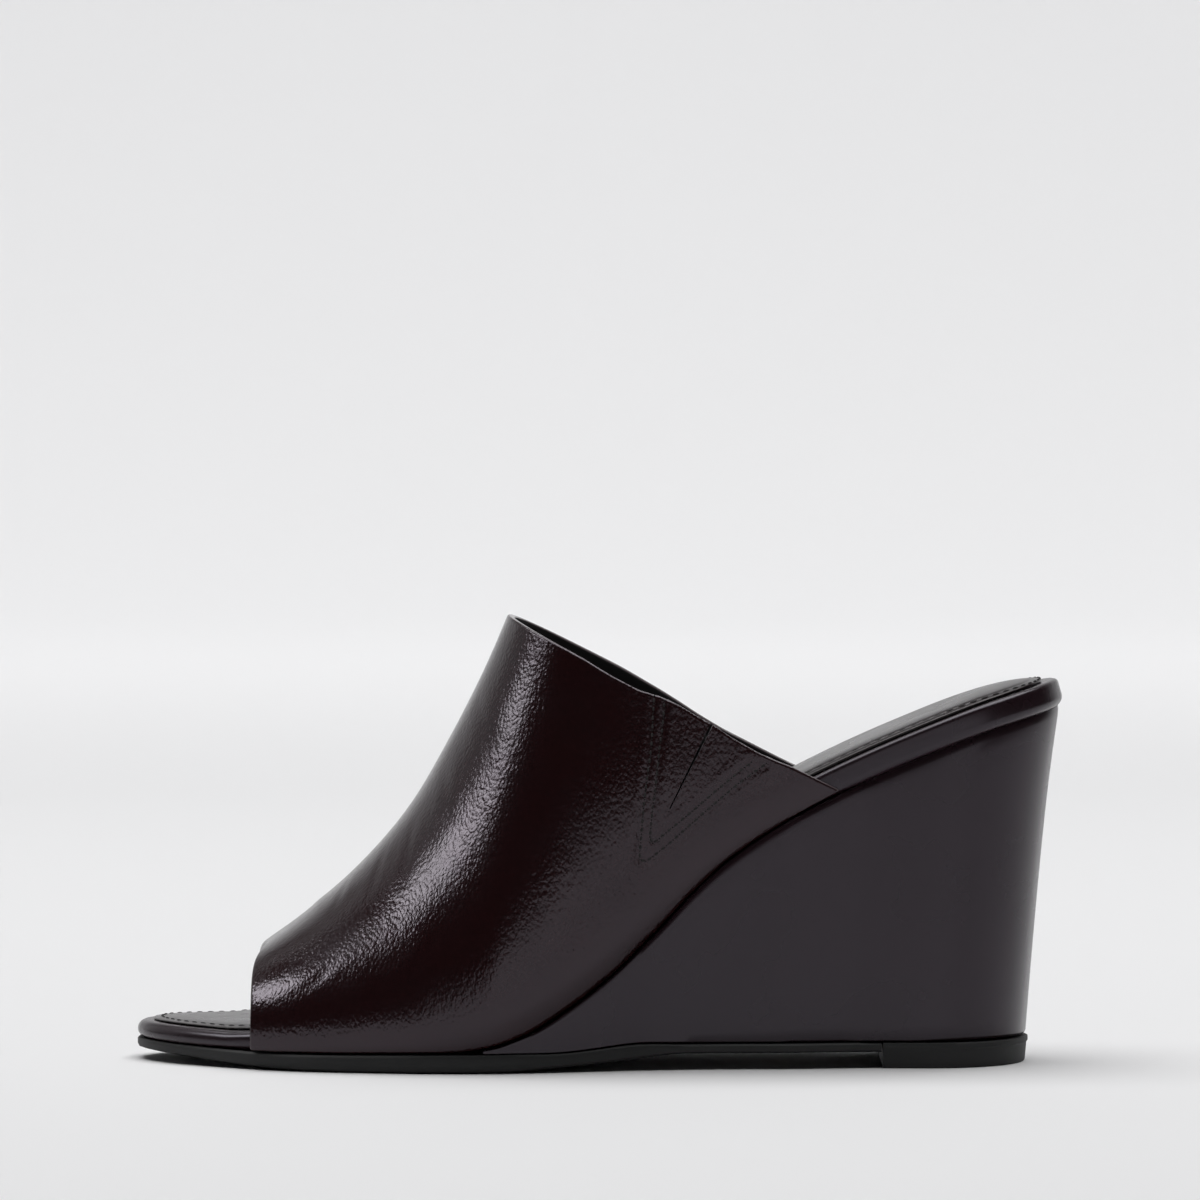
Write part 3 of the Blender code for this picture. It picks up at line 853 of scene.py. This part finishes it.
def alongRow(points, pitch):
    # evenly spaced points on a row given in millimetres from the toe and above the floor
    points = np.array(points) * mm
    legs = np.hypot(*np.diff(points, axis=0).T)
    reach = np.concatenate([[0], np.cumsum(legs)])
    count = max(2, int(round(reach[-1] / pitch)))
    at = np.linspace(0, reach[-1], count + 1)
    return np.stack([np.interp(at, reach, points[:, 0]), np.interp(at, reach, points[:, 1])], axis=-1)


def onOuterSide(tree, flatPoints):
    # the places where rays from the outer side meet the upper
    places = []
    for x, z in flatPoints:
        origin = Vector((x - 0.5 * shoe["length"] + shift.x, -0.2, z))
        hit = tree.ray_cast(origin, Vector((0, 1, 0)))
        places.append(hit[0] if hit[0] is not None else origin)
    return places


upperMesh, turnShare, placeShare = gridOf(upperLook["around"], upperLook["along"])
smoothPoints = upperSurface(placeShare, turnShare)
normals = upperNormal(placeShare, turnShare)
placeVerts(upperMesh, smoothPoints)
bareTree = BVHTree.FromBMesh(upperMesh)
rowPoints = [np.array(onOuterSide(bareTree, alongRow(row, 0.0007))) - np.array(shift) for row in (outerRow, innerRow)]

relief = creaseRelief(placeShare, turnShare)
near = (turnShare < 0.5) & (placeShare > 0.5)
for points in rowPoints:
    away = np.full(len(smoothPoints), 1.0)
    spread = smoothPoints[near][:, None, :] - points[None, :, :]
    away[near] = np.sqrt((spread ** 2).sum(axis=2)).min(axis=1)
    relief = relief - upperLook["stitchTrough"] * np.exp(-((away / upperLook["troughWidth"]) ** 2))
    relief = relief + 0.00012 * np.exp(-(((away - 0.0016) / 0.0009) ** 2)) * np.where(near, 1.0, 0.0)

shaped = smoothPoints + normals * relief[:, None]
fromToe = smoothPoints[:, 0] + 0.5 * shoe["length"]
nearCollar = np.clip((placeShare - 1 + upperLook["collarBand"]) / upperLook["collarBand"], 0, 1) ** 2
lift = np.where(turnShare < 0.5, curve(collarOuter, fromToe / mm), curve(collarInner, fromToe / mm))
shaped[:, 2] += lift * mm * nearCollar
# the skin turns under along the feather, behind the ball
footHeight = upperSurface(placeShare, np.where(turnShare < 0.5, 0.0, 1.0))[:, 2]
low = np.clip(1 - (smoothPoints[:, 2] - footHeight) / upperLook["tuckHeight"], 0, 1) ** 2
low = low * curve(((0.30, 0.0), (0.50, 1.0)), placeShare)
shaped[:, 1] += upperLook["tuck"] * low * np.where(turnShare < 0.5, 1.0, -1.0)
placeVerts(upperMesh, shaped)
upperMesh.normal_update()
upperMesh.faces.ensure_lookup_table()
middleFace = upperMesh.faces[len(upperMesh.faces) // 2 + upperLook["around"] // 2]
if middleFace.normal.z < 0:
    bmesh.ops.reverse_faces(upperMesh, faces=upperMesh.faces)
outerTree = BVHTree.FromBMesh(upperMesh)
upperShell = makePiece("upperShell", upperMesh, [oxbloodCalf, liningLeather, rimPaintedHighlight], ["upper"])


def slitCutter():
    # narrow V that opens at the collar and runs a quarter beyond it
    topX, topH = slitTop
    tipX, tipH = slitTip
    run, rise = 0.25 * (topX - tipX), 0.25 * (topH - tipH)
    halfTop = 0.5 * upperLook["slitWidth"] / shoe["length"]
    halfTip = 0.5 * upperLook["slitTipWidth"] / shoe["length"]
    corners = (
        (topX + run - halfTop, topH + rise),
        (tipX - halfTip, tipH),
        (tipX + halfTip, tipH),
        (topX + run + halfTop, topH + rise))
    mesh = bmesh.new()
    bmesh.ops.create_circle(mesh, cap_ends=True, segments=4, radius=1.0)
    mesh.verts.ensure_lookup_table()
    for vert, (station, height) in zip(mesh.verts, corners):
        vert.co = (xAt(station) + shift.x, upperLook["slitFront"], height * shoe["instepHeight"])
    left = {3: mesh.verts[0].co.x, 2: mesh.verts[1].co.x}
    right = [(mesh.verts[k].co.copy(), left[k]) for k in (2, 3)]
    swept = bmesh.ops.extrude_face_region(mesh, geom=mesh.faces[:])
    moved = [item for item in swept["geom"] if isinstance(item, bmesh.types.BMVert)]
    bmesh.ops.translate(mesh, verts=moved, vec=(0, upperLook["slitDepth"], 0))
    # the rear side is cut aslant, so that its raw edge faces a little outwards
    for vert in mesh.verts:
        share = upperLook["slitDeepShare"] if vert in moved else upperLook["slitFrontShare"]
        for corner, leftX in right:
            if abs(vert.co.x - corner.x) < 1e-6 and abs(vert.co.z - corner.z) < 1e-6:
                vert.co.x = leftX + (corner.x - leftX) * share
                break
    bmesh.ops.recalc_face_normals(mesh, faces=mesh.faces)
    data = bpy.data.meshes.new("slitCutter")
    mesh.to_mesh(data)
    mesh.free()
    data.materials.append(slitPaintedHighlight)
    cutter = bpy.data.objects.new("slitCutter", data)
    bpy.context.scene.collection.objects.link(cutter)
    return cutter


wall = upperShell.modifiers.new("wall", "SOLIDIFY")
wall.thickness = shoe["wall"]
wall.offset = -1
wall.use_even_offset = True
wall.material_offset = 1
# the wall's rim faces take the third material, the grey of the painted edge highlight
wall.material_offset_rim = 2
fold = upperShell.modifiers.new("fold", "BEVEL")
fold.width = upperLook["rimRound"]
fold.segments = 3
fold.limit_method = "ANGLE"
fold.angle_limit = math.radians(50)
cutter = slitCutter()
cut = upperShell.modifiers.new("slit", "BOOLEAN")
cut.operation = "DIFFERENCE"
cut.solver = "EXACT"
# the cut faces take the cutter's pale grey, the painted highlight of the slit's edge
cut.material_mode = "TRANSFER"
cut.object = cutter
bakeModifiers(upperShell)
bpy.data.objects.remove(cutter, do_unlink=True)
upperShell.data.shade_smooth()
upperShell.data.set_sharp_from_angle(angle=math.radians(40))
print("upper shell:", len(upperShell.data.polygons), "faces", [m.name for m in upperShell.data.materials])


# Elastic panel behind the slit

goreCopy = bmesh.new()
goreCopy.from_mesh(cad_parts["side_gore"].data)
bmesh.ops.remove_doubles(goreCopy, verts=goreCopy.verts, dist=1e-6)
goreElastic = makePiece("goreElastic", goreCopy, [elasticWeave], ["side_gore"], sharp=50)


# Stitches


def addStitch(mesh, middle, along, up, length, radius, sink):
    across = up.cross(along).normalized()
    along = along.normalized()
    lift = along.cross(across)
    turned = Matrix((along, across, -lift)).transposed().to_4x4()
    place = Matrix.Translation(middle - up * sink) @ turned
    size = Matrix.Diagonal((length * 0.5, radius, radius * 0.85, 1.0))
    bmesh.ops.create_uvsphere(mesh, u_segments=8, v_segments=6, radius=1.0, matrix=place @ size)


def placeHoleShade(mesh, middle, up, radius):
    # a flattened near-black disc on the surface: painted shade where the needle hole is dark
    turned = up.to_track_quat("Z", "Y").to_matrix().to_4x4()
    place = Matrix.Translation(middle) @ turned @ Matrix.Diagonal((radius, radius, radius * 0.3, 1.0))
    made = bmesh.ops.create_uvsphere(mesh, u_segments=8, v_segments=4, radius=1.0, matrix=place)
    # the disc takes the painted shade material
    for face in {f for v in made["verts"] for f in v.link_faces}:
        face.material_index = 1


upperStitches = bmesh.new()
for row in (outerRow, innerRow):
    ends = onOuterSide(outerTree, alongRow(row, upperLook["stitchPitch"]))
    for start, end in zip(ends, ends[1:]):
        middle, up, _, _ = outerTree.find_nearest(start.lerp(end, 0.5))
        if up.dot(Vector((0, -1, 0))) < 0:
            up = -up
        addStitch(upperStitches, middle, end - start, up, upperLook["stitchLength"],
                  upperLook["threadRadius"], upperLook["threadRadius"] * 0.15)
    for place in ends:
        middle, up, _, _ = outerTree.find_nearest(place)
        if up.dot(Vector((0, -1, 0))) < 0:
            up = -up
        placeHoleShade(upperStitches, middle, up, upperLook["holeRadius"])
upperStitching = makePiece("upperStitching", upperStitches, [waxedThread, paintedHoleShade], [])

sockStitches = bmesh.new()
sockTree = BVHTree.FromPolygons(
    [v.co for v in insoleSock.data.vertices], [p.vertices for p in insoleSock.data.polygons])
dense = easedStations(0.0, 1.0, 400)
order = np.concatenate([dense, dense[1:-1][::-1]])
side = np.concatenate([-np.ones(401), np.ones(399)])
flat = np.stack([xAt(order), edgeY(side, order)], axis=-1)
along = np.roll(flat, -1, axis=0) - np.roll(flat, 1, axis=0)
along = along / np.linalg.norm(along, axis=1, keepdims=True)
flat = flat - np.stack([along[:, 1], -along[:, 0]], axis=-1) * (sockLook["margin"] + sockLook["stitchInset"])
flat = np.concatenate([flat, flat[:1]])
heights = boardBottom(np.clip(stationAt(flat[:, 0]), 0, 1))
solid = np.stack([flat[:, 0], flat[:, 1], heights], axis=-1)
legs = np.linalg.norm(np.diff(solid, axis=0), axis=1)
reach = np.concatenate([[0], np.cumsum(legs)])
stitchCount = int(round(reach[-1] / sockLook["stitchPitch"]))
for k in range(stitchCount):
    pair = []
    for offset in (-0.5, 0.5):
        at = (k + 0.5) * reach[-1] / stitchCount + offset * sockLook["stitchLength"]
        point = Vector([np.interp(at, reach, solid[:, axis]) for axis in range(3)]) + shift
        hit = sockTree.ray_cast(Vector((point.x, point.y, 0.2)), Vector((0, 0, -1)))
        pair.append(hit)
    if pair[0][0] is None or pair[1][0] is None:
        continue
    middle = pair[0][0].lerp(pair[1][0], 0.5)
    up = pair[0][1] if pair[0][1].z > 0 else -pair[0][1]
    addStitch(sockStitches, middle, pair[1][0] - pair[0][0], up,
              (pair[1][0] - pair[0][0]).length, sockLook["threadRadius"], 0.0)
sockStitching = makePiece("sockStitching", sockStitches, [waxedThread], [])
print("stitches:", len(upperStitching.data.polygons), len(sockStitching.data.polygons), "faces")


# Studio: pale floor that sweeps up into the backdrop, soft lights, camera

studio = {
    "floorWidth": 12.0,
    "floorFront": -4.0,
    "floorBack": 2.4,
    "sweepRadius": 1.2,
    "wallHeight": 3.0,
    "floorColour": "#e9e9ea",
    "worldColour": "#ffffff",
    "worldStrength": 0.015,
}
lights = (
    # name, place, aim, width, height, watts, lights the floor, shows in gloss
    ("overheadSoftbox", (0.0, 0.4, 3.0), (0.0, -0.1, 0.0), 3.4, 3.0, 119.0, True, True),
    ("backdropWash", (0.0, 2.0, 1.25), (0.0, 3.4, 0.25), 8.0, 0.6, 28.0, True, False),
    ("toeSoftbox", (-1.06, -0.16, 0.87), (-0.05, 0.0, 0.06), 0.46, 0.36, 4.3, False, True),
    ("sideFlat", (-2.2, 1.1, 1.2), (0.0, 0.0, 0.06), 2.2, 2.0, 5.5, False, True),
    ("frontPanel", (0.86, -3.3, 0.28), (0.0, 0.0, 0.06), 3.1, 0.95, 7.7, False, True),
)
cameraLook = {
    "place": (0.0003, -2.5946, 0.2128),
    "aim": (0.0003, 0.0, 0.1087),
    "lens": 330.7,
}

sweep = bmesh.new()
bmesh.ops.create_grid(sweep, x_segments=1, y_segments=1, size=0.5)
for vert in sweep.verts:
    depth = studio["floorBack"] - studio["floorFront"]
    vert.co = Vector((vert.co.x * studio["floorWidth"], studio["floorFront"] + (vert.co.y + 0.5) * depth, 0))
backEdge = max(sweep.edges, key=lambda e: (e.verts[0].co.y + e.verts[1].co.y))
spun = bmesh.ops.spin(
    sweep, geom=list(backEdge.verts) + [backEdge], axis=(1, 0, 0),
    cent=(0, studio["floorBack"], studio["sweepRadius"]), angle=math.radians(90), steps=24)
lastEdge = [item for item in spun["geom_last"] if isinstance(item, bmesh.types.BMEdge)]
raised = bmesh.ops.extrude_edge_only(sweep, edges=lastEdge)
bmesh.ops.translate(
    sweep, vec=(0, 0, studio["wallHeight"]),
    verts=[item for item in raised["geom"] if isinstance(item, bmesh.types.BMVert)])
bmesh.ops.remove_doubles(sweep, verts=sweep.verts, dist=1e-5)
bmesh.ops.recalc_face_normals(sweep, faces=sweep.faces)
floorData = bpy.data.meshes.new("floorSweep")
sweep.to_mesh(floorData)
sweep.free()
floorSweep = bpy.data.objects.new("floorSweep", floorData)
bpy.context.scene.collection.objects.link(floorSweep)
floorPaper, _, _ = startMaterial("paperMattWhite", studio["floorColour"], 0.9, {"Specular IOR Level": 0.2})
floorData.materials.append(floorPaper)
floorData.shade_smooth()

for name, place, aim, width, depth, watts, diffuse, glossy in lights:
    lamp = bpy.data.lights.new(name, "AREA")
    lamp.shape = "RECTANGLE"
    lamp.size = width
    lamp.size_y = depth
    lamp.energy = watts
    lampObject = bpy.data.objects.new(name, lamp)
    lampObject.location = place
    lampObject.rotation_euler = (Vector(aim) - Vector(place)).to_track_quat("-Z", "Y").to_euler()
    lampObject.visible_diffuse = diffuse
    lampObject.visible_glossy = glossy
    bpy.context.scene.collection.objects.link(lampObject)

world = bpy.data.worlds.new("softStudio")
world.use_nodes = True
world.node_tree.nodes["Background"].inputs["Color"].default_value = toLinear(studio["worldColour"])
world.node_tree.nodes["Background"].inputs["Strength"].default_value = studio["worldStrength"]
bpy.context.scene.world = world
bpy.context.scene.view_settings.view_transform = "Standard"

cameraData = bpy.data.cameras.new("camera")
cameraData.lens = cameraLook["lens"]
cameraData.sensor_width = 36.0
camera = bpy.data.objects.new("camera", cameraData)
camera.location = cameraLook["place"]
look = Vector(cameraLook["aim"]) - Vector(cameraLook["place"])
camera.rotation_euler = look.to_track_quat("-Z", "Y").to_euler()
bpy.context.scene.collection.objects.link(camera)
bpy.context.scene.camera = camera
print("studio ready")
